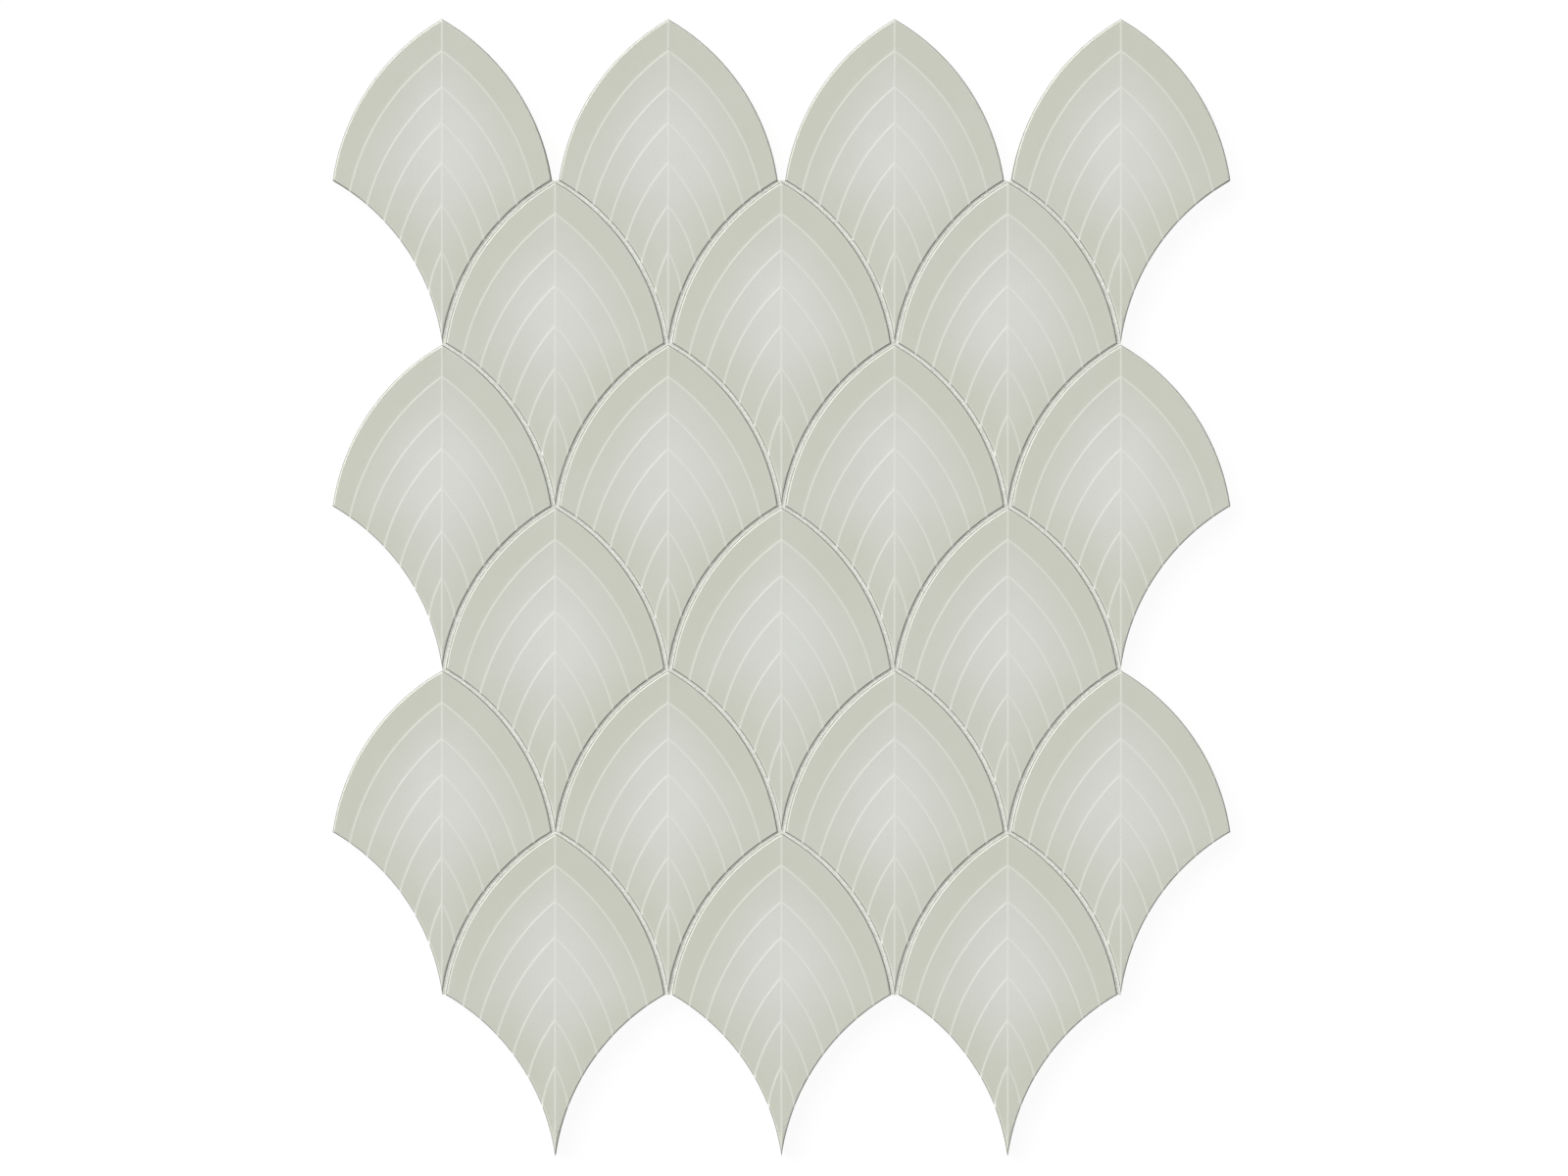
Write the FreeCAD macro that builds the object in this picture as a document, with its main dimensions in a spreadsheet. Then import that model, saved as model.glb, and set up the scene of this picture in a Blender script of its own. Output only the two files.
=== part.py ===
"""Fish scale mosaic sheet: leaf-shaped tiles in staggered rows, joined by grout on a laid thread net.

The sheet lies face up with its back on Z = 0, and the origin is at the middle of the back.
X runs along the rows, and the heads of the leaves point to +Y.
"""

import FreeCAD
import Part
import Sketcher
import math
import os

# Driving dimensions in millimetres, and counts
DIMENSIONS = {
    "tile_width": 64.0,  # across the two side corners of one leaf
    "tile_height": 94.4,  # from head to tip of one leaf
    "tile_thickness": 7.5,
    "side_radius": 64.8,  # of all four sides, so that a concave side nests on a convex one
    "edge_bevel": 0.4,  # around the glazed face, at 45 degrees
    "corner_gap": 2.2,  # between the side corners of two tiles in one row
    "tip_gap": 0.9,  # between a tip and the head below it, two rows down
    "row_count": 6,
    "long_row_tiles": 4,  # in the first, third and fifth row; the others have one fewer
    "grout_recess": 0.5,  # from the glazed face down to the grout
    "net_margin": 3.0,  # from the edge of the grouted field in to the edge of the net
    "thread_pitch": 5.0,
    "thread_width": 0.8,
    "thread_thickness": 0.25,
}

# Formulas that the sheet's cells are combined in
COLUMN_PITCH = "(Sizes.tile_width + Sizes.corner_gap)"
ROW_PITCH = "((Sizes.tile_height + Sizes.tip_gap) / 2)"
FIELD_WIDTH = f"((round(Sizes.long_row_tiles) - 1) * {COLUMN_PITCH})"
FIELD_LENGTH = f"((round(Sizes.row_count) - 1) * {ROW_PITCH})"
NET_WIDTH = f"({FIELD_WIDTH} - 2 * Sizes.net_margin)"
NET_LENGTH = f"({FIELD_LENGTH} - 2 * Sizes.net_margin)"
NET_THICKNESS = "(2 * Sizes.thread_thickness)"

# How a sketch numbers the ends of a line or arc, and its own axes
START, END = 1, 2
X_AXIS, Y_AXIS = -1, -2

doc = FreeCAD.newDocument("fish_scale_sheet")


def add_sizes():
    """Put each driving dimension in a cell of its own, with its name as the alias."""
    sheet = doc.addObject("Spreadsheet::Sheet", "Sizes")
    for line, (name, value) in enumerate(DIMENSIONS.items(), start=1):
        sheet.set(f"A{line}", name)
        sheet.set(f"B{line}", str(value))
        sheet.setAlias(f"B{line}", name)
    doc.recompute()
    return sheet


sizes = add_sizes()


def add_body(label):
    """An empty body whose label names its file."""
    body = doc.addObject("PartDesign::Body", label)
    body.Label = label
    return body


def origin_feature(body, role):
    """One of the body's own planes or axes."""
    return next(feature for feature in body.Origin.OriginFeatures if feature.Role == role)


def add_sketch(body, name):
    """A sketch on the body's own XY plane."""
    sketch = body.newObject("Sketcher::SketchObject", name)
    sketch.AttachmentSupport = (origin_feature(body, "XY_Plane"), "")
    sketch.MapMode = "FlatFace"
    return sketch


def bind(sketch, name, kind, *args, formula):
    """Add a dimension to the sketch and tie it to the sheet."""
    start_value = sizes.evalExpression(formula)
    index = sketch.addConstraint(Sketcher.Constraint(kind, *args, float(start_value)))
    sketch.renameConstraint(index, name)
    sketch.setExpression(f"Constraints.{name}", formula)


def arc(centre, start, end):
    """The arc about a centre that runs counter-clockwise from start to end."""
    circle = Part.Circle(centre, FreeCAD.Vector(0, 0, 1), (start - centre).Length)
    angles = [math.atan2(point.y - centre.y, point.x - centre.x) for point in (start, end)]
    return Part.ArcOfCircle(circle, *angles)


def draw_leaf(sketch):
    """Two convex arcs from the head to the side corners, and two equal concave ones on to the tip."""
    half_width = sizes.tile_width / 2
    half_height = sizes.tile_height / 2
    chord = math.hypot(half_width, half_height)
    reach = math.sqrt(sizes.side_radius**2 - (chord / 2) ** 2) / chord
    head = FreeCAD.Vector(0, half_height, 0)
    tip = FreeCAD.Vector(0, -half_height, 0)
    right = FreeCAD.Vector(half_width, 0, 0)
    left = FreeCAD.Vector(-half_width, 0, 0)
    convex_right = (head + right) / 2 - FreeCAD.Vector(half_height, half_width, 0) * reach
    convex_left = FreeCAD.Vector(-convex_right.x, convex_right.y, 0)
    concave_right = (tip + right) / 2 + FreeCAD.Vector(half_height, -half_width, 0) * reach
    concave_left = FreeCAD.Vector(-concave_right.x, concave_right.y, 0)
    upper_right = sketch.addGeometry(arc(convex_right, right, head))
    upper_left = sketch.addGeometry(arc(convex_left, head, left))
    lower_left = sketch.addGeometry(arc(concave_left, tip, left))
    lower_right = sketch.addGeometry(arc(concave_right, right, tip))
    sketch.addConstraint(
        [
            Sketcher.Constraint("Coincident", upper_right, END, upper_left, START),
            Sketcher.Constraint("Coincident", upper_left, END, lower_left, END),
            Sketcher.Constraint("Coincident", lower_left, START, lower_right, END),
            Sketcher.Constraint("Coincident", lower_right, START, upper_right, START),
            Sketcher.Constraint("PointOnObject", upper_right, END, Y_AXIS),
            Sketcher.Constraint("PointOnObject", lower_right, END, Y_AXIS),
            Sketcher.Constraint("PointOnObject", upper_right, START, X_AXIS),
            Sketcher.Constraint("Symmetric", upper_right, START, upper_left, END, Y_AXIS),
            Sketcher.Constraint("Equal", upper_right, upper_left),
            Sketcher.Constraint("Equal", upper_right, lower_left),
            Sketcher.Constraint("Equal", upper_right, lower_right),
        ]
    )
    bind(sketch, "width", "DistanceX", upper_left, END, upper_right, START, formula="Sizes.tile_width")
    bind(sketch, "head_rise", "DistanceY", X_AXIS, START, upper_right, END, formula="Sizes.tile_height / 2")
    bind(sketch, "tip_drop", "DistanceY", lower_right, END, X_AXIS, START, formula="Sizes.tile_height / 2")
    bind(sketch, "radius", "Radius", upper_right, formula="Sizes.side_radius")


def add_tile(label, columns_across, rows_up):
    """One leaf tile, bevelled around its face, at its place in pitches from the sheet's middle."""
    body = add_body(label)
    outline = add_sketch(body, f"{label}_outline")
    draw_leaf(outline)
    blank = body.newObject("PartDesign::Pad", f"{label}_blank")
    blank.Profile = outline
    blank.setExpression("Length", "Sizes.tile_thickness")
    doc.recompute()
    face_names = [f"Face{number}" for number in range(1, len(blank.Shape.Faces) + 1)]
    glazed_face = max(face_names, key=lambda name: blank.Shape.getElement(name).CenterOfMass.z)
    bevel = body.newObject("PartDesign::Chamfer", f"{label}_bevel")
    bevel.Base = (blank, [glazed_face])
    bevel.setExpression("Size", "Sizes.edge_bevel")
    body.Tip = bevel
    body.setExpression("Placement.Base.x", f"{columns_across} * {COLUMN_PITCH}")
    body.setExpression("Placement.Base.y", f"{rows_up} * {ROW_PITCH}")
    body.setExpression("Placement.Base.z", NET_THICKNESS)
    return body


def add_tiles():
    """All rows from the head of the sheet down, every second row set half a pitch in."""
    tiles = []
    row_count = round(sizes.row_count)
    for row in range(row_count):
        in_row = round(sizes.long_row_tiles) - row % 2
        for column in range(in_row):
            label = f"tile_row{row + 1}_col{column + 1}"
            tiles.append(add_tile(label, column - (in_row - 1) / 2, (row_count - 1) / 2 - row))
    return tiles


def add_grout(tiles):
    """A slab over the field between the outer leaves' axes, less the tiles: what fills the joints."""
    slab = doc.addObject("Part::Box", "grouted_field")
    slab.setExpression("Length", FIELD_WIDTH)
    slab.setExpression("Width", FIELD_LENGTH)
    slab.setExpression("Height", "Sizes.tile_thickness - Sizes.grout_recess")
    slab.setExpression("Placement.Base.x", f"-{FIELD_WIDTH} / 2")
    slab.setExpression("Placement.Base.y", f"-{FIELD_LENGTH} / 2")
    slab.setExpression("Placement.Base.z", NET_THICKNESS)
    laid_tiles = doc.addObject("Part::Compound", "laid_tiles")
    laid_tiles.Links = tiles
    grout = doc.addObject("Part::Cut", "joint_grout")
    grout.Base = slab
    grout.Tool = laid_tiles
    return grout


def draw_strip(sketch, width_formula, length_formula):
    """A rectangle centred on the origin, width along X and length along Y."""
    half_width = sizes.evalExpression(width_formula) / 2
    half_length = sizes.evalExpression(length_formula) / 2
    signs = [(-1, -1), (1, -1), (1, 1), (-1, 1)]
    corners = [FreeCAD.Vector(x * half_width, y * half_length, 0) for x, y in signs]
    bottom, right, top, left = [
        sketch.addGeometry(Part.LineSegment(corners[side], corners[(side + 1) % 4])) for side in range(4)
    ]
    sketch.addConstraint(
        [
            Sketcher.Constraint("Coincident", bottom, END, right, START),
            Sketcher.Constraint("Coincident", right, END, top, START),
            Sketcher.Constraint("Coincident", top, END, left, START),
            Sketcher.Constraint("Coincident", left, END, bottom, START),
            Sketcher.Constraint("Horizontal", bottom),
            Sketcher.Constraint("Horizontal", top),
            Sketcher.Constraint("Vertical", right),
            Sketcher.Constraint("Vertical", left),
            Sketcher.Constraint("Symmetric", bottom, START, top, START, X_AXIS, START),
        ]
    )
    bind(sketch, "width", "DistanceX", bottom, START, bottom, END, formula=width_formula)
    bind(sketch, "length", "DistanceY", right, START, right, END, formula=length_formula)


def add_threads(label, axis, span, thread_size, height):
    """One layer of the net: flat threads side by side along an axis, with one of them through the middle."""
    per_side = f"floor(({span} - Sizes.thread_width) / 2 / Sizes.thread_pitch)"
    body = add_body(label)
    body.AllowCompound = True
    outline = add_sketch(body, f"{label}_outline")
    draw_strip(outline, *thread_size)
    thread = body.newObject("PartDesign::Pad", f"{label}_thread")
    thread.Profile = outline
    thread.setExpression("Length", "Sizes.thread_thickness")
    doc.recompute()
    row = body.newObject("PartDesign::LinearPattern", f"{label}_row")
    row.Originals = [thread]
    row.Direction = (origin_feature(body, f"{axis}_Axis"), [""])
    row.setExpression("Length", f"2 * {per_side} * Sizes.thread_pitch")
    row.setExpression("Occurrences", f"2 * {per_side} + 1")
    body.Tip = row
    body.setExpression(f"Placement.Base.{axis.lower()}", f"-{per_side} * Sizes.thread_pitch")
    body.setExpression("Placement.Base.z", height)
    return body


def write_parts(parts):
    """Stop if anything failed, then write each part to a file named by its label."""
    failed = [thing.Label for thing in doc.Objects if {"Invalid", "Error"} & set(thing.State)]
    failed += [part.Label for part in parts if part.Shape.isNull() or not part.Shape.isValid()]
    if failed:
        raise RuntimeError(f"these did not build: {failed}")
    os.makedirs("parts", exist_ok=True)
    for part in parts:
        part.Shape.exportStep(f"parts/{part.Label}.step")


tiles = add_tiles()
grout = add_grout(tiles)
warp = add_threads("net_warp", "X", NET_WIDTH, ("Sizes.thread_width", NET_LENGTH), "0")
weft = add_threads("net_weft", "Y", NET_LENGTH, (NET_WIDTH, "Sizes.thread_width"), "Sizes.thread_thickness")
doc.recompute()
write_parts([*tiles, grout, warp, weft])
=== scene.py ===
"""Looks of a fish scale mosaic sheet: leaf tiles with raised veins under a satin grey-green glaze,
set in pale sanded grout on a net of threads."""

import math

import bmesh
import bpy
import numpy as np
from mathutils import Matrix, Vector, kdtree


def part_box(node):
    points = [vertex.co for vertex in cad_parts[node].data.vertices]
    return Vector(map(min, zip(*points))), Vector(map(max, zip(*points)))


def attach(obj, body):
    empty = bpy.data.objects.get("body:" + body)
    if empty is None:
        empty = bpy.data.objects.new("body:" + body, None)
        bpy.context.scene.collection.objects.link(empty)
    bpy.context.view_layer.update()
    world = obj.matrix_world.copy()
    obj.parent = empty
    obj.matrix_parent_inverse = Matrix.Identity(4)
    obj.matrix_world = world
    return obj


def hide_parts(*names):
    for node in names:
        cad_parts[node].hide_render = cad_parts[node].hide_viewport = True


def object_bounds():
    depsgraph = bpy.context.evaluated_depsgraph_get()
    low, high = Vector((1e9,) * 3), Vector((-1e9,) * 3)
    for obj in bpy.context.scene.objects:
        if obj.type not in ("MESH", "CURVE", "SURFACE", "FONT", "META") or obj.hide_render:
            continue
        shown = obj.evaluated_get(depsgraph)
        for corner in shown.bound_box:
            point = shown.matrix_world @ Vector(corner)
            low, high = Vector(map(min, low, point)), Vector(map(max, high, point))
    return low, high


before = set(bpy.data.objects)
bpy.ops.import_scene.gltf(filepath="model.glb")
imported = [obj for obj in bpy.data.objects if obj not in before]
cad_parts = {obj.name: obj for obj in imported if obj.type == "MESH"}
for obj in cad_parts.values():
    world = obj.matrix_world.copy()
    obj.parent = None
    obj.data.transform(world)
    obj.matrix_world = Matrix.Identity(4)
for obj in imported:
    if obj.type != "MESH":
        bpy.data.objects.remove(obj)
cad_low, cad_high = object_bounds()

MM = 0.001
SEED = 7
random = np.random.default_rng(SEED)

# The leaf, in millimetres in its own frame: side corners on y = 0, head at the top, tip at the bottom
SIDE_RADIUS = 64.8
BEVEL_WIDTH = 0.36
BEVEL_SLOPE = 1.25
BEVEL_SOFTNESS = 0.14
EDGE_STEPS = (0.9, 0.65, 0.5, 0.45, 0.4, 0.35, 0.29, 0.22, 0.11, 0.0)

# Rings of points around a leaf's side walls, in millimetres below the face
WALL_RINGS = (1.1, 2.0)

# Bands of the glaze, measured in from the outline: where painted shade darkens it, where that painted shade
# is darkest at the rim, where a painted highlight lifts the side veins that cross the arris, and where the
# arris is polished
EDGE_BAND = EDGE_STEPS[0]
EDGE_SHADE_FROM = 0.25
EDGE_SHADE_FULLY = 0.08
RIM_SHADE_FROM = 0.12
RIM_SHADE_FULLY = 0.03
CROSSING_FROM = 0.6
CROSSING_FULLY = 0.35
POLISHED_FROM = 0.8
POLISHED_FULLY = 0.55

# Each vein leaves the midrib at one depth below the head and runs out through the lower side at another.
# The bow is the height of its arc over its chord.
VEIN_STARTS = (9.3, 19.9, 30.4, 42.0, 54.5, 68.0)
VEIN_ENDS = (50.4, 54.3, 59.1, 64.6, 71.3, 79.8)
VEIN_BOWS = (0.093, 0.078, 0.072, 0.057, 0.051, 0.043)
RIDGE_HALF_WIDTH = 0.45
RIDGE_HEIGHT = 0.015
TERRACE_HEIGHT = 0.055
TERRACE_FADE = 0.7
RIDGE_STEPS = (-1.0, -0.66, -0.33, 0.0, 0.33, 0.66, 1.0)
RIB_STEPS = (0.0, 0.15, 0.3, 0.45)
POINTS_ALONG_VEIN = 20
LINES_BETWEEN_VEINS = 4
TIP_STEPS = (0.12, 0.25, 0.4, 0.55, 0.7, 0.82, 0.92, 0.97)
MOST_OF_LINE = 0.8

# The paler middle of each leaf: where it lies below the head, how far it spreads, and how much the
# leaves differ in it
GLOW_DEPTH = 37.3
GLOW_LENGTH = 19.0
GLOW_WIDTH_SHARE = 0.42
LEAST_HALF_WIDTH = 0.5
GLOW_IN_OUTER_BAND = 0.15
TONE_SPREAD = 0.02

# The point values that the glaze reads, in the order in which the leaf keeps them, and those of its tip
LEAF_VALUES = ("vein", "glow", "edge", "crossing")
TIP_VALUES = (1.0, 0.0, 1.0, 0.0)

# Decimals of a millimetre to which the places of columns and rows are told apart
PLACE_DECIMALS = 3

# Edges sharper than this stay crisp in smooth shading, in degrees
CRISP_ANGLE = 50
THREAD_CRISP_ANGLE = 60


def srgb(red, green, blue):
    """A colour as seen on a screen, 0 to 255, as the linear colour that a shader takes."""
    linear = []
    for level in (red, green, blue):
        share = level / 255
        linear.append(share / 12.92 if share <= 0.04045 else ((share + 0.055) / 1.055) ** 2.4)
    return (*linear, 1.0)


def tile_nodes():
    """The CAD nodes of the tiles with the middle of each, in millimetres."""
    found = {}
    for name in sorted(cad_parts):
        if name.startswith("tile_"):
            low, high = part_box(name)
            found[name] = ((low.x + high.x) / 2 / MM, (low.y + high.y) / 2 / MM)
    return found


tiles = tile_nodes()
tile_low, tile_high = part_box(next(iter(tiles)))
half_width = (tile_high.x - tile_low.x) / 2 / MM
half_height = (tile_high.y - tile_low.y) / 2 / MM
tile_back = tile_low.z / MM
tile_face = tile_high.z / MM
field_level = tile_face - RIDGE_HEIGHT - TERRACE_HEIGHT
columns = sorted({round(x, PLACE_DECIMALS) for x, y in tiles.values()})
rows = sorted({round(y, PLACE_DECIMALS) for x, y in tiles.values()})
column_step = columns[1] - columns[0]
row_step = rows[1] - rows[0]
joint_across = np.array([column_step - half_width, row_step - half_height])

head = np.array([0.0, half_height])
corner = np.array([half_width, 0.0])
tip = np.array([0.0, -half_height])


def arc_centre(start, end, radius, side):
    """Centre of the arc of that radius from start to end, on the left (1) or right (-1) of the way."""
    way = end - start
    chord = np.hypot(*way)
    normal = np.array([-way[1], way[0]]) / chord
    return (start + end) / 2 + side * normal * math.sqrt(radius**2 - chord**2 / 4)


upper_centre = arc_centre(head, corner, SIDE_RADIUS, -1)
lower_centre = arc_centre(corner, tip, SIDE_RADIUS, 1)


def side_at_depth(depth):
    """The point of the lower right side at that depth below the head."""
    y = half_height - depth
    return np.array([lower_centre[0] - math.sqrt(SIDE_RADIUS**2 - (y - lower_centre[1]) ** 2), y])


def vein_circle(start_depth, end_depth, bow):
    """Centre and radius of the arc that a vein follows on the right half."""
    start = np.array([0.0, half_height - start_depth])
    end = side_at_depth(end_depth)
    chord = np.hypot(*(end - start))
    radius = chord * (1 / (8 * bow) + bow / 2)
    return arc_centre(start, end, radius, -1), radius


def arc_ends(centre, radius):
    """Where an arc of the right half leaves the midrib and where it meets the lower side."""
    begin = np.array([0.0, centre[1] + math.sqrt(radius**2 - centre[0] ** 2)])
    between = lower_centre - centre
    distance = np.hypot(*between)
    between = between / distance
    along = (radius**2 - SIDE_RADIUS**2 + distance**2) / (2 * distance)
    off = math.sqrt(radius**2 - along**2)
    return begin, centre + along * between + off * np.array([-between[1], between[0]])


def arc_shape(centre, radius):
    """Start depth, end depth and bow of an arc, the three values that vein_circle takes."""
    begin, finish = arc_ends(centre, radius)
    chord = np.hypot(*(finish - begin))
    bow = (radius - math.sqrt(radius**2 - chord**2 / 4)) / chord
    return np.array([half_height - begin[1], half_height - finish[1], bow])


def spaced_arc(centre, radius):
    """Points of an arc of the right half from the midrib to the lower side, closer together at both ends."""
    begin, finish = arc_ends(centre, radius)
    first = math.atan2(*(begin - centre)[::-1])
    last = math.atan2(*(finish - centre)[::-1])
    length = radius * (first - last)
    leaving = (begin - centre)[1] / radius
    heading = np.array([(finish - centre)[1], -(finish - centre)[0]]) / radius
    arriving = heading @ (lower_centre - finish) / SIDE_RADIUS
    near_rib = np.array(RIB_STEPS) / leaving
    near_side = np.array(EDGE_STEPS) / arriving
    squeeze = min(1.0, MOST_OF_LINE * length / (near_rib[-1] + near_side[0]))
    near_rib = near_rib * squeeze
    near_side = length - near_side * squeeze
    middle = np.linspace(near_rib[-1], near_side[0], POINTS_ALONG_VEIN + 2)[1:-1]
    steps = np.concatenate([near_rib, middle, near_side])
    angles = first - steps / radius
    return centre + radius * np.stack([np.cos(angles), np.sin(angles)], 1)


def leaf_lines():
    """The lines of the right half from the upper side to the tip.

    Each has its points, ridge, terrace and share of glow. The face steps up by one terrace over each vein
    and slopes back down towards the next."""
    lines = []
    for step in EDGE_STEPS[::-1]:
        lines.append((spaced_arc(upper_centre, SIDE_RADIUS - step), 0.0, 0.0, GLOW_IN_OUTER_BAND))
    before = arc_shape(upper_centre, SIDE_RADIUS - EDGE_STEPS[0])
    for number, vein in enumerate(zip(VEIN_STARTS, VEIN_ENDS, VEIN_BOWS)):
        centre, radius = vein_circle(*vein)
        glow = 1.0 if number else GLOW_IN_OUTER_BAND
        after = arc_shape(centre, radius - RIDGE_STEPS[0] * RIDGE_HALF_WIDTH)
        for share in np.linspace(0, 1, LINES_BETWEEN_VEINS + 2)[1:-1]:
            line = spaced_arc(*vein_circle(*(before + share * (after - before))))
            lines.append((line, 0.0, 1 - share if number else 0.0, glow))
        for step in RIDGE_STEPS:
            line = spaced_arc(centre, radius - step * RIDGE_HALF_WIDTH)
            ridge = 0.5 + 0.5 * math.cos(math.pi * step)
            terrace = 0.5 + 0.5 * math.sin(math.pi * step / 2)
            lines.append((line, ridge, terrace, 1.0 if step > 0 else glow))
        before = arc_shape(centre, radius - RIDGE_STEPS[-1] * RIDGE_HALF_WIDTH)
    after = np.array([2 * half_height, 2 * half_height, before[2]])
    for share in TIP_STEPS:
        lines.append((spaced_arc(*vein_circle(*(before + share * (after - before)))), 0.0, 1 - share, 1.0))
    return lines


def side_distance(x, y):
    """How far a point of the right half lies inside the outline."""
    above = SIDE_RADIUS - np.hypot(x - upper_centre[0], y - upper_centre[1])
    below = np.hypot(x - lower_centre[0], y - lower_centre[1]) - SIDE_RADIUS
    return np.maximum(np.minimum(above, below), 0.0)


def bevel_drop(inside):
    """How far the face has dropped at that distance from the outline: a bevel with a soft arris."""
    over = BEVEL_WIDTH - inside
    rounded = np.clip(over + BEVEL_SOFTNESS, 0.0, 2 * BEVEL_SOFTNESS) ** 2 / (4 * BEVEL_SOFTNESS)
    return BEVEL_SLOPE * np.maximum(rounded, over)


def outline_half_width(y):
    """Half the leaf's width at that height."""
    upper = upper_centre[0] + np.sqrt(np.maximum(SIDE_RADIUS**2 - (y - upper_centre[1]) ** 2, 0))
    lower = lower_centre[0] - np.sqrt(np.maximum(SIDE_RADIUS**2 - (y - lower_centre[1]) ** 2, 0))
    return np.maximum(np.where(y > 0, upper, lower), LEAST_HALF_WIDTH)


def add_walls(points, faces, values, outline):
    """Add the walls from the outline of the face down to the tile's back, and the back itself."""
    levels = [tile_face - drop for drop in WALL_RINGS]
    ring = outline
    for level in (*levels, tile_back):
        lower = list(range(len(points), len(points) + len(outline)))
        for index in outline:
            points.append(np.array([points[index][0], points[index][1], level]))
            values.append(np.zeros(len(LEAF_VALUES)))
        for i in range(len(outline)):
            k = (i + 1) % len(outline)
            faces.append((lower[i], lower[k], ring[k], ring[i]))
        ring = lower
    faces.append(tuple(ring[::-1]))


def leaf_template():
    """Points, faces and point values of one leaf tile about its own middle, in millimetres."""
    lines = leaf_lines()
    flat = np.array([line[0] for line in lines])
    x, y = flat[..., 0], flat[..., 1]
    ridge, terrace, share = np.array([line[1:] for line in lines]).T[:, :, None]
    rib = 0.5 + 0.5 * np.cos(math.pi * np.minimum(x / RIDGE_HALF_WIDTH, 1.0))
    vein = np.maximum(ridge, rib)
    inside = side_distance(x, y)
    terrace = terrace * (1 - TERRACE_FADE * x / x[:, -1:])
    z = field_level + RIDGE_HEIGHT * vein + TERRACE_HEIGHT * terrace - bevel_drop(inside)
    edge = np.clip(1 - inside / EDGE_BAND, 0.0, 1.0)
    depth = half_height - y
    spread = (x / (GLOW_WIDTH_SHARE * outline_half_width(y))) ** 2
    glow = np.exp(-0.5 * ((depth - GLOW_DEPTH) / GLOW_LENGTH) ** 2 - 0.5 * spread) * share

    count, across = x.shape
    points = [*np.stack([x, y, z], -1).reshape(-1, 3)]
    named = np.stack([vein, glow, edge, np.broadcast_to(ridge, x.shape)], -1)
    values = [*named.reshape(-1, len(LEAF_VALUES))]
    right = np.arange(count * across).reshape(count, across)
    left = right.copy()
    left[:, 1:] = count * across + np.arange(count * (across - 1)).reshape(count, across - 1)
    points.extend(np.stack([-x, y, z], -1)[:, 1:].reshape(-1, 3))
    values.extend(named[:, 1:].reshape(-1, len(LEAF_VALUES)))
    last = len(points)
    points.append(np.array([*tip, field_level - bevel_drop(0.0)]))
    values.append(np.array(TIP_VALUES))

    faces = []
    for t in range(count - 1):
        for s in range(across - 1):
            faces.append((right[t, s], right[t + 1, s], right[t + 1, s + 1], right[t, s + 1]))
            faces.append((left[t, s], left[t, s + 1], left[t + 1, s + 1], left[t + 1, s]))
    for s in range(across - 1):
        faces.append((right[-1, s], last, right[-1, s + 1]))
        faces.append((left[-1, s], left[-1, s + 1], last))

    outline = [*left[0], *left[1:, -1], last, *right[::-1, -1], *right[0, -2:0:-1]]
    add_walls(points, faces, values, outline)
    return np.array(points), faces, np.array(values)


def new_piece(name, points, faces, material, slot, *nodes):
    """A mesh piece in the row frame from points in millimetres, standing for those CAD nodes."""
    mesh = bpy.data.meshes.new(name)
    mesh.from_pydata((np.asarray(points) * MM).tolist(), [], [tuple(int(i) for i in face) for face in faces])
    mesh.validate()
    mesh.update()
    mesh.materials.append(material)
    piece = bpy.data.objects.new(name, mesh)
    bpy.context.scene.collection.objects.link(piece)
    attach(piece, "root")
    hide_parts(*nodes)
    return piece


def smooth_by_angle(piece, degrees):
    """Smooth shading with edges sharper than that angle kept crisp."""
    form = bmesh.new()
    form.from_mesh(piece.data)
    for face in form.faces:
        face.smooth = True
    for edge in form.edges:
        edge.smooth = edge.calc_face_angle(math.pi) < math.radians(degrees)
    form.to_mesh(piece.data)
    form.free()


def point_value(piece, name, values):
    """Give each point of the piece a number that its material can read."""
    attribute = piece.data.attributes.new(name, "FLOAT", "POINT")
    attribute.data.foreach_set("value", np.asarray(values, np.float32))


# Places of a Mix node's colour sockets
MIX_FIRST = 6
MIX_SECOND = 7
MIX_RESULT = 2


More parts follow.
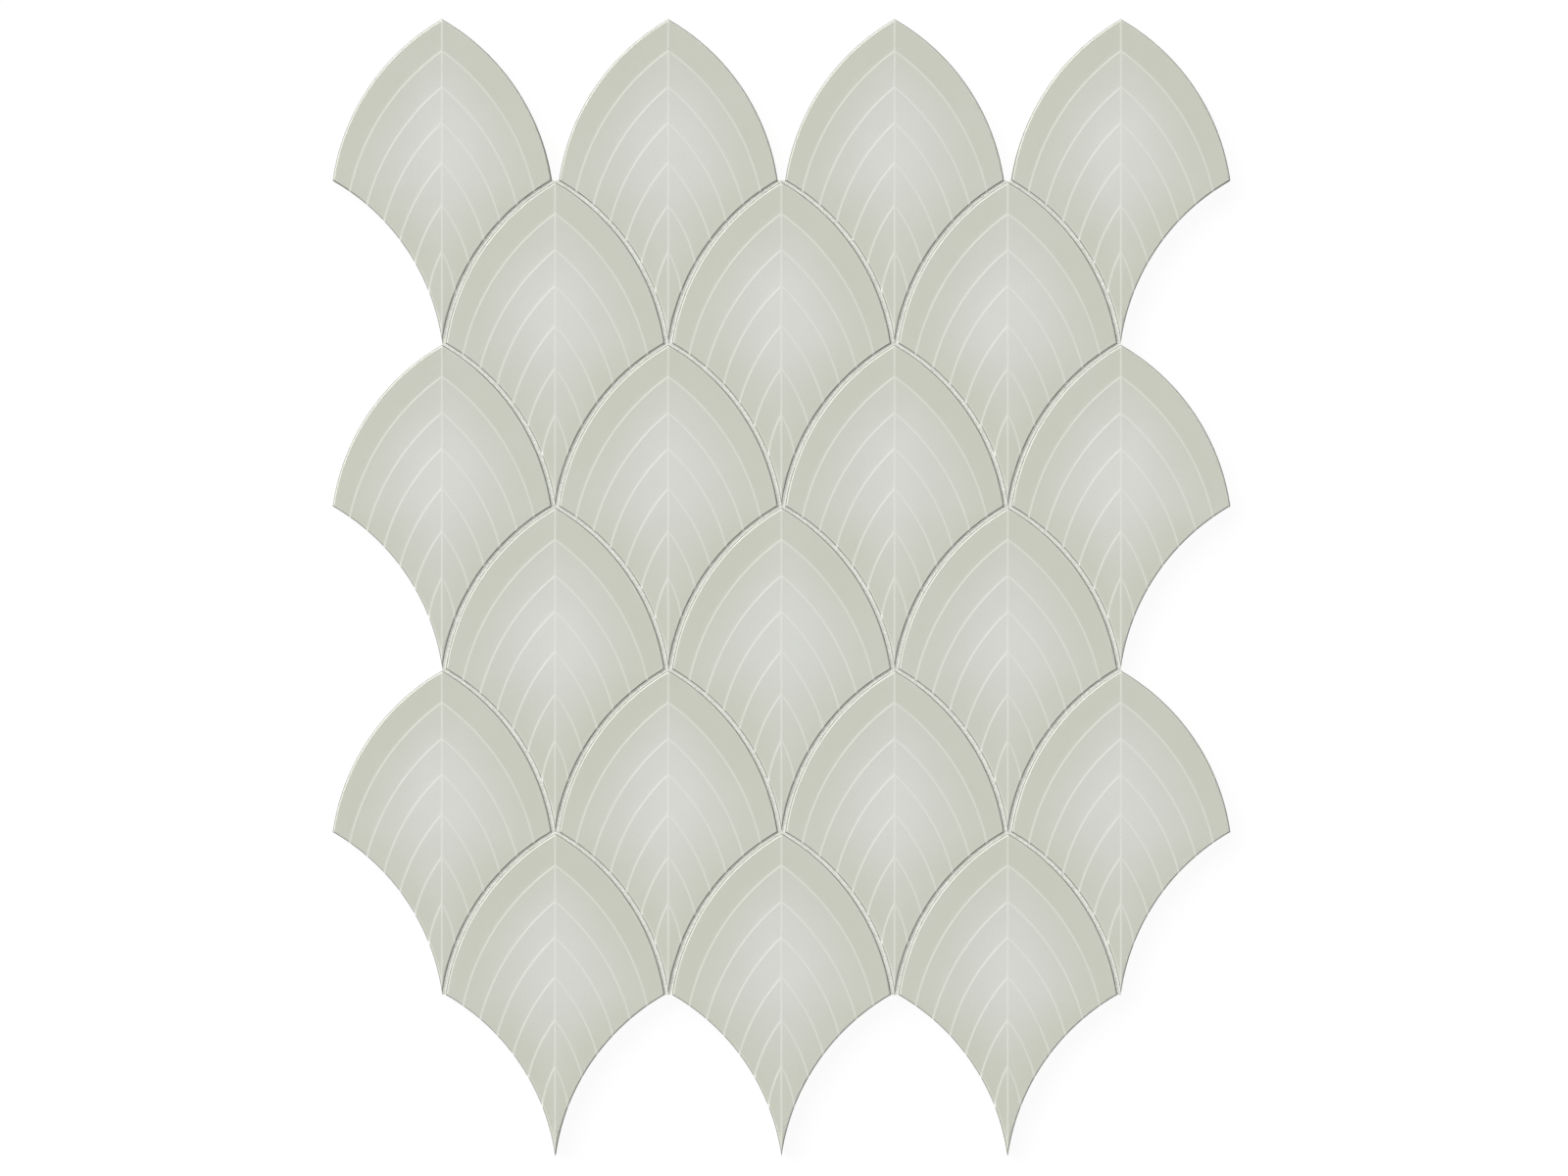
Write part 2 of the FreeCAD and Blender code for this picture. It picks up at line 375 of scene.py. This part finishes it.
class Shader:
    """A material's node tree with a Principled shader, and short ways to add to it."""

    def __init__(self, name):
        self.material = bpy.data.materials.new(name)
        self.material.use_nodes = True
        self.tree = self.material.node_tree
        self.surface = self.tree.nodes["Principled BSDF"]
        self.place = self.add("ShaderNodeTexCoord").outputs["Object"]

    def add(self, kind, **inputs):
        made = self.tree.nodes.new(kind)
        for name, value in inputs.items():
            self.feed(made.inputs[name.replace("_", " ")], value)
        return made

    def feed(self, socket, value):
        if isinstance(value, bpy.types.NodeSocket):
            self.tree.links.new(value, socket)
        else:
            socket.default_value = value

    def noise(self, scale, detail=2.0):
        made = self.add("ShaderNodeTexNoise", Vector=self.place, Scale=scale, Detail=detail)
        return made.outputs["Fac"]

    def attribute(self, name):
        made = self.add("ShaderNodeAttribute")
        made.attribute_name = name
        return made.outputs["Fac"]

    def math(self, operation, first, second):
        made = self.tree.nodes.new("ShaderNodeMath")
        made.operation = operation
        self.feed(made.inputs[0], first)
        self.feed(made.inputs[1], second)
        return made.outputs[0]

    def span(self, value, low, high, to_low=0.0, to_high=1.0):
        """The value's way from low to high as a way from to_low to to_high, and no further."""
        made = self.add("ShaderNodeMapRange")
        made.clamp = True
        for index, number in enumerate((value, low, high, to_low, to_high)):
            self.feed(made.inputs[index], number)
        return made.outputs[0]

    def mix(self, share, first, second):
        made = self.tree.nodes.new("ShaderNodeMix")
        made.data_type = "RGBA"
        self.feed(made.inputs[0], share)
        self.feed(made.inputs[MIX_FIRST], first)
        self.feed(made.inputs[MIX_SECOND], second)
        return made.outputs[MIX_RESULT]

    def height(self):
        return self.add("ShaderNodeSeparateXYZ", Vector=self.place).outputs["Z"]

    def bump(self, value, distance, strength):
        made = self.add("ShaderNodeBump", Height=value, Distance=distance, Strength=strength)
        return made.outputs["Normal"]

    def finish(self, **inputs):
        for name, value in inputs.items():
            self.feed(self.surface.inputs[name.replace("_", " ")], value)
        return self.material


# Colours of the glaze and of the biscuit, as seen on a screen, with the painted shade along the outline and
# the painted highlight where the veins cross the arris
OUTER_GLAZE = srgb(195.7, 197.6, 184.5)
MIDDLE_GLAZE = srgb(212, 213, 207.5)
DRIFT_GLAZE = srgb(201, 203, 197)
VEIN_GLAZE = srgb(228, 229, 221)
# Painted shade: a darker band and a darker rim along each tile's outline, where the bevel meets the grout
PAINTED_EDGE_SHADE = srgb(114, 115, 108)
PAINTED_RIM_SHADE = srgb(80, 80, 75)
# Painted highlight on the veins where they run over the arris, on top of their own paler colour
PAINTED_CROSSING_HIGHLIGHT = srgb(241, 241, 235)
SPECKLE_GLAZE = srgb(188, 190, 178)
DARK_BISCUIT = srgb(190, 181, 165)
PALE_BISCUIT = srgb(207, 199, 185)

# Scales of their patterns, in cells per metre
DRIFT_SCALE = 25.0
CLOUD_SCALE = 70.0
SATIN_SCALE = 180.0
RAGGED_SCALE = 400.0
RIPPLE_SCALE = 420.0
SPECKLE_SCALE = 1500.0
BISCUIT_SCALE = 2600.0

# The part of a noise's values over which a pattern fades in, and how strongly it shows
NOISE_RANGE = (0.3, 0.7)
DRIFT_RANGE = (0.4, 0.65)
SPECKLE_RANGE = (0.35, 0.7)
GLOW_SHIFT = 0.07
DRIFT_SHARE = 0.15
SPECKLE_SHARE = 0.12
VEIN_SHARE = 0.6
RIPPLE_SHARE = 0.6
GRIT_SHARE = 4.0
COAT_SHARE = 0.9
SATIN_ROUGHNESS = (0.44, 0.52)
MORE_ON_BISCUIT = 0.45

# Where the glaze ends on the walls, in millimetres below the face, how ragged its lower edge is there,
# and the height of the glaze's fine relief
GLAZE_ENDS_FROM = 1.35
GLAZE_ENDS_FULLY = 1.75
RAGGED_HEIGHT = 0.8
GLAZE_RELIEF = 0.03


def glaze_material():
    """Satin glaze: paler in the leaf's middle and on the veins, with painted shade along the outline and a
    painted highlight where the veins cross it, bare biscuit below.
    """
    shader = Shader("satin_glaze")
    cloud = shader.noise(CLOUD_SCALE, detail=3.0)
    speckle = shader.noise(SPECKLE_SCALE)
    drift = shader.noise(DRIFT_SCALE, detail=1.0)
    shift = shader.span(cloud, *NOISE_RANGE, -GLOW_SHIFT, GLOW_SHIFT)
    glow = shader.math("ADD", shader.attribute("glow"), shift)
    glow = shader.math("ADD", glow, shader.attribute("tone"))
    body = shader.mix(shader.span(glow, 0.0, 1.0), OUTER_GLAZE, MIDDLE_GLAZE)
    body = shader.mix(shader.span(drift, *DRIFT_RANGE, 0.0, DRIFT_SHARE), body, DRIFT_GLAZE)
    vein = shader.attribute("vein")
    body = shader.mix(shader.span(vein, 0.0, 1.0, 0.0, VEIN_SHARE), body, VEIN_GLAZE)
    edge = shader.attribute("edge")
    crossing = shader.attribute("crossing")
    between_veins = shader.span(crossing, 0.0, 1.0, 1.0, 0.0)

    def band(start, full):
        """0 further in from the outline than start, 1 nearer to it than full."""
        return shader.span(edge, 1 - start / EDGE_BAND, 1 - full / EDGE_BAND)

    # Painted shade along the outline, darkest at the rim and left out where the veins cross; the coat stays
    # off it
    edge_shade = shader.math("MULTIPLY", band(EDGE_SHADE_FROM, EDGE_SHADE_FULLY), between_veins)
    rim = shader.math("MULTIPLY", band(RIM_SHADE_FROM, RIM_SHADE_FULLY), between_veins)
    polished = band(POLISHED_FROM, POLISHED_FULLY)
    body = shader.mix(edge_shade, body, PAINTED_EDGE_SHADE)
    body = shader.mix(rim, body, PAINTED_RIM_SHADE)
    # Painted highlight: the veins lighter still where they run over the shaded arris
    crossing_highlight = shader.math("MULTIPLY", crossing, band(CROSSING_FROM, CROSSING_FULLY))
    body = shader.mix(crossing_highlight, body, PAINTED_CROSSING_HIGHLIGHT)
    body = shader.mix(shader.span(speckle, *SPECKLE_RANGE, 0.0, SPECKLE_SHARE), body, SPECKLE_GLAZE)
    ragged = shader.math("MULTIPLY", shader.noise(RAGGED_SCALE), RAGGED_HEIGHT * MM)
    level = shader.math("ADD", shader.height(), ragged)
    bare_from = (tile_face - GLAZE_ENDS_FROM) * MM
    bare_fully = (tile_face - GLAZE_ENDS_FULLY) * MM
    bare = shader.span(level, bare_fully, bare_from, 1.0, 0.0)
    grain = shader.noise(BISCUIT_SCALE, detail=4.0)
    biscuit = shader.mix(shader.span(grain, *NOISE_RANGE), DARK_BISCUIT, PALE_BISCUIT)
    colour = shader.mix(bare, body, biscuit)
    satin = shader.span(shader.noise(SATIN_SCALE, detail=3.0), *NOISE_RANGE, *SATIN_ROUGHNESS)
    rough = shader.span(bare, 0.0, 1.0, 0.0, MORE_ON_BISCUIT)
    ripple = shader.math("MULTIPLY", shader.noise(RIPPLE_SCALE, detail=1.0), RIPPLE_SHARE)
    grit = shader.math("MULTIPLY", shader.math("MULTIPLY", bare, grain), GRIT_SHARE)
    relief = shader.math("ADD", shader.math("ADD", ripple, speckle), grit)
    return shader.finish(
        Base_Color=colour,
        Roughness=shader.math("ADD", satin, rough),
        Normal=shader.bump(relief, GLAZE_RELIEF * MM, strength=0.35),
        IOR=1.5,
        Specular_IOR_Level=0.4,
        Coat_Weight=shader.math("MULTIPLY", polished, shader.span(edge_shade, 0.0, 1.0, COAT_SHARE, 0.0)),
        Coat_Roughness=0.28,
        Coat_IOR=1.7,
    )


# The grout's colours, the scales of its patterns in cells per metre, where and how strongly they show,
# and the relief of its grains in millimetres
GREY_GROUT = srgb(232, 234, 225)
PALE_GROUT = srgb(240, 242, 235)
# Colour of the dark grains, also used as the painted shade in the hollows between grains
DARK_GRAIN_AND_HOLLOW_SHADE = srgb(188, 189, 179)
GROUT_CLOUD_SCALE = 120.0
GROUT_ROUGHNESS_SCALE = 1200.0
SAND_SCALE = 3000.0
GROUT_CLOUD_RANGE = (0.35, 0.65)
DARK_GRAINS_FROM = 0.5
DARK_GRAIN_SHARE = 0.63
GRAIN_EDGE = 0.7
# Where and how strongly painted shade darkens the hollows between the grains
SHADED_HOLLOW_RANGE = (0.2, 0.6)
HOLLOW_SHADE_SHARE = 0.5
GRAIN_ROUGHNESS = (0.8, 0.95)
SAND_RELIEF = 0.08


def grout_material():
    """Sanded cement grout: pale and matt, with rounded grains that each have their own tone, and painted
    shade in the hollows between them.
    """
    shader = Shader("sanded_grout")
    sand = shader.add("ShaderNodeTexVoronoi", Vector=shader.place, Scale=SAND_SCALE)
    tone = shader.add("ShaderNodeSeparateXYZ", Vector=sand.outputs["Color"]).outputs["X"]
    cloud = shader.noise(GROUT_CLOUD_SCALE)
    colour = shader.mix(shader.span(cloud, *GROUT_CLOUD_RANGE), GREY_GROUT, PALE_GROUT)
    dark = shader.span(tone, DARK_GRAINS_FROM, 1.0, 0.0, DARK_GRAIN_SHARE)
    colour = shader.mix(dark, colour, DARK_GRAIN_AND_HOLLOW_SHADE)
    dome = shader.span(sand.outputs["Distance"], 0.0, GRAIN_EDGE, 1.0, 0.0)
    # Painted shade in the hollows between the grains
    colour = shader.mix(shader.span(dome, *SHADED_HOLLOW_RANGE, HOLLOW_SHADE_SHARE, 0.0), colour, DARK_GRAIN_AND_HOLLOW_SHADE)
    relief = shader.math("ADD", dome, shader.noise(GROUT_ROUGHNESS_SCALE, detail=3.0))
    return shader.finish(
        Base_Color=colour,
        Roughness=shader.span(tone, 0.0, 1.0, *GRAIN_ROUGHNESS),
        Normal=shader.bump(relief, SAND_RELIEF * MM, strength=0.6),
    )


# The threads' colours, the scale of their fibres in cells per metre, how they show, and their relief in
# millimetres
GREY_THREAD = srgb(226, 226, 220)
WHITE_THREAD = srgb(243, 243, 239)
FIBRE_SCALE = 3500.0
FIBRE_RANGE = (0.35, 0.7)
FIBRE_ROUGHNESS = (0.5, 0.7)
FIBRE_RELIEF = 0.05


def thread_material():
    """White glass fibre threads with a faint sheen and a fine fibrous relief."""
    shader = Shader("net_thread")
    fibre = shader.noise(FIBRE_SCALE, detail=3.0)
    colour = shader.mix(shader.span(fibre, *FIBRE_RANGE), GREY_THREAD, WHITE_THREAD)
    return shader.finish(
        Base_Color=colour,
        Roughness=shader.span(fibre, *NOISE_RANGE, *FIBRE_ROUGHNESS),
        Normal=shader.bump(fibre, FIBRE_RELIEF * MM, strength=0.5),
        Sheen_Weight=0.15,
    )


def make_tiles():
    """One glazed leaf in the place of each tile."""
    material = glaze_material()
    points, faces, values = leaf_template()
    for name, (x, y) in tiles.items():
        piece_name = name.replace("tile", "glazed_leaf")
        piece = new_piece(piece_name, points + np.array([x, y, 0.0]), faces, material, "glazed_tile", name)
        for column, value_name in enumerate(LEAF_VALUES):
            point_value(piece, value_name, values[:, column])
        point_value(piece, "tone", np.full(len(points), random.normal(0.0, TONE_SPREAD)))
        smooth_by_angle(piece, CRISP_ANGLE)


# The joint, in millimetres and in shares of its width: how far the grout stands below the field at the
# tiles and in the middle, the fine groove where it has shrunk from the tiles, and its grains
GROUT_AT_TILE = 0.31
GROUT_AT_MIDDLE = 0.53
GROOVE_DEPTH = 0.03
GROOVE_SHARE = 0.12
GRAIN_HEIGHT = 0.03
JOINT_SHARES = (0.0, 0.05, 0.12, 0.3, 0.5, 0.7, 0.88, 0.95, 1.0)
JOINT_CELLS = len(JOINT_SHARES) - 1
STEPS_ALONG_JOINT = 170

# Distances within which two places are one: for the middles of tiles, and for the points of the grout
SAME_PLACE = 1.0
WELD_DISTANCE = 0.002


def grout_level(across, other=0.0):
    """Height of the grout where across, and at a crossing also other, runs from 0 to 1 between the tiles."""
    rise = (2 * across - 1) ** 2 * (2 * other - 1) ** 2
    groove = 1.0
    for share in (across, other):
        groove *= max(0.0, 1 - min(share, 1 - share) / GROOVE_SHARE)
    return field_level - GROUT_AT_MIDDLE + (GROUT_AT_MIDDLE - GROUT_AT_TILE) * rise - GROOVE_DEPTH * groove


def close_sides(form, bottom_level):
    """Join the rim of the grout's top to the rim of its underside, and return the points of the top."""
    bottom = [v for v in form.verts if v.co.z < bottom_level + WELD_DISTANCE]
    top = set(form.verts) - set(bottom)
    finder = kdtree.KDTree(len(bottom))
    for index, vert in enumerate(bottom):
        finder.insert(vert.co, index)
    finder.balance()
    border = [edge for edge in form.edges if len(edge.link_faces) == 1 and edge.verts[0] in top]
    for edge in border:
        loop = edge.link_loops[0]
        a, b = loop.vert, loop.link_loop_next.vert
        under = [bottom[finder.find((v.co.x, v.co.y, bottom_level))[1]] for v in (a, b)]
        form.faces.new((b, a, *under))
    return top


def make_grout():
    """The joints as strips swept between two tiles, with a small diamond wherever four tiles meet."""
    form = bmesh.new()
    low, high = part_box("joint_grout")
    low = np.array(low) / MM
    high = np.array(high) / MM
    middles = [np.array(middle) for middle in tiles.values()]

    def is_tile(place):
        return any(np.hypot(*(place - middle)) < SAME_PLACE for middle in middles)

    first = math.atan2(*(head - upper_centre)[::-1])
    last = math.atan2(*(corner - upper_centre)[::-1])
    angles = np.linspace(first, last, STEPS_ALONG_JOINT + 1)
    upper_side = upper_centre + SIDE_RADIUS * np.stack([np.cos(angles), np.sin(angles)], 1)

    def vertex(flat, level):
        return form.verts.new((flat[0], flat[1], level))

    def add_strip(middle, side):
        mirror = np.array([side, 1.0])
        lattice = []
        for spot in upper_side:
            line = [middle + mirror * (spot + share * joint_across) for share in JOINT_SHARES]
            lattice.append([vertex(flat, grout_level(share)) for flat, share in zip(line, JOINT_SHARES)])
        for one, two in zip(lattice, lattice[1:]):
            for k in range(JOINT_CELLS):
                corners = [one[k], two[k], two[k + 1], one[k + 1]]
                form.faces.new(corners if side > 0 else corners[::-1])
        below = [lattice[0], *[[line[0], line[-1]] for line in lattice[1:-1]], lattice[-1]]
        below = [[vertex(v.co, low[2]) for v in line] for line in below]
        for one, two in zip(below, below[1:]):
            ring = [*one, *two[::-1]]
            if len(one) > 2:
                ring = [ring[-1], *ring[:-1]]
            for a, b in zip(ring[1:], ring[2:]):
                form.faces.new((ring[0], a, b) if side > 0 else (b, a, ring[0]))

    def add_diamond(start):
        right = joint_across
        left = joint_across * np.array([-1.0, 1.0])
        lattice = [
            [vertex(start + v * right + w * left, grout_level(v, w)) for w in JOINT_SHARES]
            for v in JOINT_SHARES
        ]
        for i in range(JOINT_CELLS):
            for k in range(JOINT_CELLS):
                a, b = lattice[i][k], lattice[i + 1][k]
                c, d = lattice[i + 1][k + 1], lattice[i][k + 1]
                halves = ((a, b, d), (b, c, d)) if i + k == JOINT_CELLS - 1 else ((a, b, c), (a, c, d))
                for half in halves:
                    centre = sum((np.array(v.co) for v in half), np.zeros(3)) / 3
                    if np.all(centre[:2] > low[:2]) and np.all(centre[:2] < high[:2]):
                        form.faces.new(half)
                        form.faces.new([vertex(v.co, low[2]) for v in reversed(half)])

    for middle in middles:
        for side in (1, -1):
            if is_tile(middle + np.array([side * column_step, row_step])):
                add_strip(middle, side)
        if middle[1] < rows[-1] - SAME_PLACE:
            add_diamond(middle + head)
    below = rows[0] - row_step
    for middle in middles:
        if abs(middle[1] - rows[1]) < SAME_PLACE:
            add_diamond(np.array([middle[0], below]) + head)

    for vert in [v for v in form.verts if not v.link_faces]:
        form.verts.remove(vert)
    bmesh.ops.remove_doubles(form, verts=form.verts, dist=WELD_DISTANCE)
    top = close_sides(form, low[2])
    for vert in form.verts:
        if vert in top:
            vert.co.z += random.uniform(-GRAIN_HEIGHT, GRAIN_HEIGHT)
    form.normal_update()
    mesh_points = np.array([v.co for v in form.verts])
    form.verts.index_update()
    mesh_faces = [tuple(v.index for v in face.verts) for face in form.faces]
    form.free()
    piece = new_piece("sanded_joints", mesh_points, mesh_faces, grout_material(), "grout", "joint_grout")
    smooth_by_angle(piece, CRISP_ANGLE)


# The net's threads, in millimetres, and the two waves of each in radians over its length
THREAD_PITCH = 5.0
THREAD_HALF_WIDTH = 0.36
THREAD_SIDES = 8
THREAD_STEPS = 64
THREAD_WAVE = 0.035
SLOW_WAVE = 19
QUICK_WAVE = 47


def make_threads(node, name, along, material):
    """Flat oval threads side by side, each a little wavy, in the place of one layer of the net."""
    low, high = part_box(node)
    low = np.array(low) / MM
    high = np.array(high) / MM
    across = 1 - along
    number = round((high[across] - low[across] - 2 * THREAD_HALF_WIDTH) / THREAD_PITCH) + 1
    first = (low[across] + high[across] - (number - 1) * THREAD_PITCH) / 2
    middle = (low[2] + high[2]) / 2
    half_height_of_thread = (high[2] - low[2]) / 2
    turn = np.linspace(0, 2 * math.pi, THREAD_SIDES, endpoint=False)
    points, faces = [], []
    for k in range(number):
        start = len(points)
        phase = random.uniform(0, 2 * math.pi, 2)
        for share in np.linspace(0, 1, THREAD_STEPS + 1):
            slow = math.sin(phase[0] + SLOW_WAVE * share)
            quick = math.sin(phase[1] + QUICK_WAVE * share)
            wave = THREAD_WAVE * (slow + quick) / 2
            for angle in turn:
                spot = np.zeros(3)
                spot[along] = low[along] + share * (high[along] - low[along])
                spot[across] = first + k * THREAD_PITCH + wave + THREAD_HALF_WIDTH * math.cos(angle)
                spot[2] = middle + half_height_of_thread * math.sin(angle)
                points.append(spot)
        rings = np.arange(start, len(points)).reshape(-1, THREAD_SIDES).tolist()
        for one, two in zip(rings, rings[1:]):
            for i in range(THREAD_SIDES):
                j = (i + 1) % THREAD_SIDES
                face = (one[i], one[j], two[j], two[i])
                faces.append(face if along == 0 else face[::-1])
        for end in (tuple(rings[0][::-1]), tuple(rings[-1])):
            faces.append(end if along == 0 else end[::-1])
    piece = new_piece(name, points, faces, material, "net_thread", node)
    smooth_by_angle(piece, THREAD_CRISP_ANGLE)


make_tiles()
make_grout()
thread = thread_material()
make_threads("net_warp", "thread_warp", 1, thread)
make_threads("net_weft", "thread_weft", 0, thread)


# Stage: white floor and world, a soft key lamp from the upper left with a weak one against it, and a
# camera straight above. The sheet's place in the photograph is in pixels, the lamps' angles in degrees.
PHOTO_WIDTH = 1600
SHEET_WIDTH_IN_PHOTO = 916.2
SHEET_LEFT_OF_MIDDLE = 2.56
SHEET_ABOVE_MIDDLE = 0.3
LENS = 150.0
SENSOR = 36.0
VIEW_DEPTH = 50.0
KEY_SHARE = 0.775
COUNTER_SHARE = 0.08
FILL_SHARE = 0.14
KEY_AZIMUTH = 136.0
LAMP_ELEVATION = 34.0
LAMP_SOFTNESS = 70.0
FLOOR_SIZE = 12.0
FLOOR_GAP = 0.02
FLOOR_WHITE = 1.02
SHADOW_SHARE = 0.08
FLOOR_BOUNCE = 0.3


def grey(level):
    return (level, level, level, 1.0)


def seen_directly(tree):
    """1 for rays from the camera, mirrored and bent ones too, and 0 for rays that carry light."""
    path = tree.nodes.new("ShaderNodeLightPath")
    total = path.outputs["Is Camera Ray"]
    for name in ("Is Glossy Ray", "Is Transmission Ray"):
        either = tree.nodes.new("ShaderNodeMath")
        either.operation = "MAXIMUM"
        tree.links.new(total, either.inputs[0])
        tree.links.new(path.outputs[name], either.inputs[1])
        total = either.outputs[0]
    return total


def make_world():
    """White where it is seen, and a weak even fill where it lights the object."""
    world = bpy.data.worlds.new("white_studio")
    world.use_nodes = True
    tree = world.node_tree
    tree.nodes.clear()
    output = tree.nodes.new("ShaderNodeOutputWorld")
    choice = tree.nodes.new("ShaderNodeMixShader")
    light = tree.nodes.new("ShaderNodeBackground")
    light.inputs["Strength"].default_value = FILL_SHARE
    light.inputs["Color"].default_value = grey(1.0)
    white = tree.nodes.new("ShaderNodeBackground")
    white.inputs["Strength"].default_value = 1.0
    white.inputs["Color"].default_value = grey(1.0)
    tree.links.new(seen_directly(tree), choice.inputs[0])
    tree.links.new(light.outputs[0], choice.inputs[1])
    tree.links.new(white.outputs[0], choice.inputs[2])
    tree.links.new(choice.outputs[0], output.inputs["Surface"])
    bpy.context.scene.world = world


def make_floor():
    """White where it is seen, apart from a share that shows the object's shadow."""
    mesh = bpy.data.meshes.new("floor")
    half = FLOOR_SIZE / 2
    corners = [(-half, -half, 0), (half, -half, 0), (half, half, 0), (-half, half, 0)]
    mesh.from_pydata(corners, [], [(0, 1, 2, 3)])
    floor = bpy.data.objects.new("floor", mesh)
    bpy.context.scene.collection.objects.link(floor)
    floor.location.z = cad_low.z - FLOOR_GAP * MM
    material = bpy.data.materials.new("white_floor")
    material.use_nodes = True
    tree = material.node_tree
    tree.nodes.clear()
    output = tree.nodes.new("ShaderNodeOutputMaterial")
    choice = tree.nodes.new("ShaderNodeMixShader")
    lit = tree.nodes.new("ShaderNodeBsdfDiffuse")
    lit.inputs["Color"].default_value = grey(FLOOR_BOUNCE)
    shadowed = tree.nodes.new("ShaderNodeBsdfDiffuse")
    shadowed.inputs["Color"].default_value = grey(SHADOW_SHARE)
    white = tree.nodes.new("ShaderNodeEmission")
    light_on_floor = KEY_SHARE + COUNTER_SHARE + FILL_SHARE
    white.inputs["Strength"].default_value = FLOOR_WHITE - SHADOW_SHARE * light_on_floor
    both = tree.nodes.new("ShaderNodeAddShader")
    tree.links.new(shadowed.outputs[0], both.inputs[0])
    tree.links.new(white.outputs[0], both.inputs[1])
    tree.links.new(seen_directly(tree), choice.inputs[0])
    tree.links.new(lit.outputs[0], choice.inputs[1])
    tree.links.new(both.outputs[0], choice.inputs[2])
    tree.links.new(choice.outputs[0], output.inputs["Surface"])
    mesh.materials.append(material)


def make_lamp(name, share, azimuth):
    """A distant soft lamp that lights level ground with that share of full white."""
    light = bpy.data.lights.new(name, "SUN")
    light.angle = math.radians(LAMP_SOFTNESS)
    light.energy = share * math.pi / math.sin(math.radians(LAMP_ELEVATION))
    lamp = bpy.data.objects.new(name, light)
    bpy.context.scene.collection.objects.link(lamp)
    lamp.rotation_euler = (math.radians(90 - LAMP_ELEVATION), 0.0, math.radians(azimuth + 90))


def make_camera():
    """A long lens straight above, with the sheet where it lies in the photograph."""
    sheet_width = cad_high.x - cad_low.x
    pixel = sheet_width / SHEET_WIDTH_IN_PHOTO
    lens = bpy.data.cameras.new("camera")
    lens.lens = LENS
    lens.sensor_width = SENSOR
    lens.clip_end = VIEW_DEPTH
    camera = bpy.data.objects.new("camera", lens)
    bpy.context.scene.collection.objects.link(camera)
    away = PHOTO_WIDTH * pixel * LENS / SENSOR
    middle = (cad_low + cad_high) / 2
    across = middle.x + SHEET_LEFT_OF_MIDDLE * pixel
    along = middle.y - SHEET_ABOVE_MIDDLE * pixel
    camera.location = (across, along, cad_high.z + away)
    bpy.context.scene.camera = camera


make_world()
make_floor()
make_lamp("key", KEY_SHARE, KEY_AZIMUTH)
make_lamp("counter", COUNTER_SHARE, KEY_AZIMUTH + 180)
make_camera()
bpy.context.scene.view_settings.view_transform = "Standard"
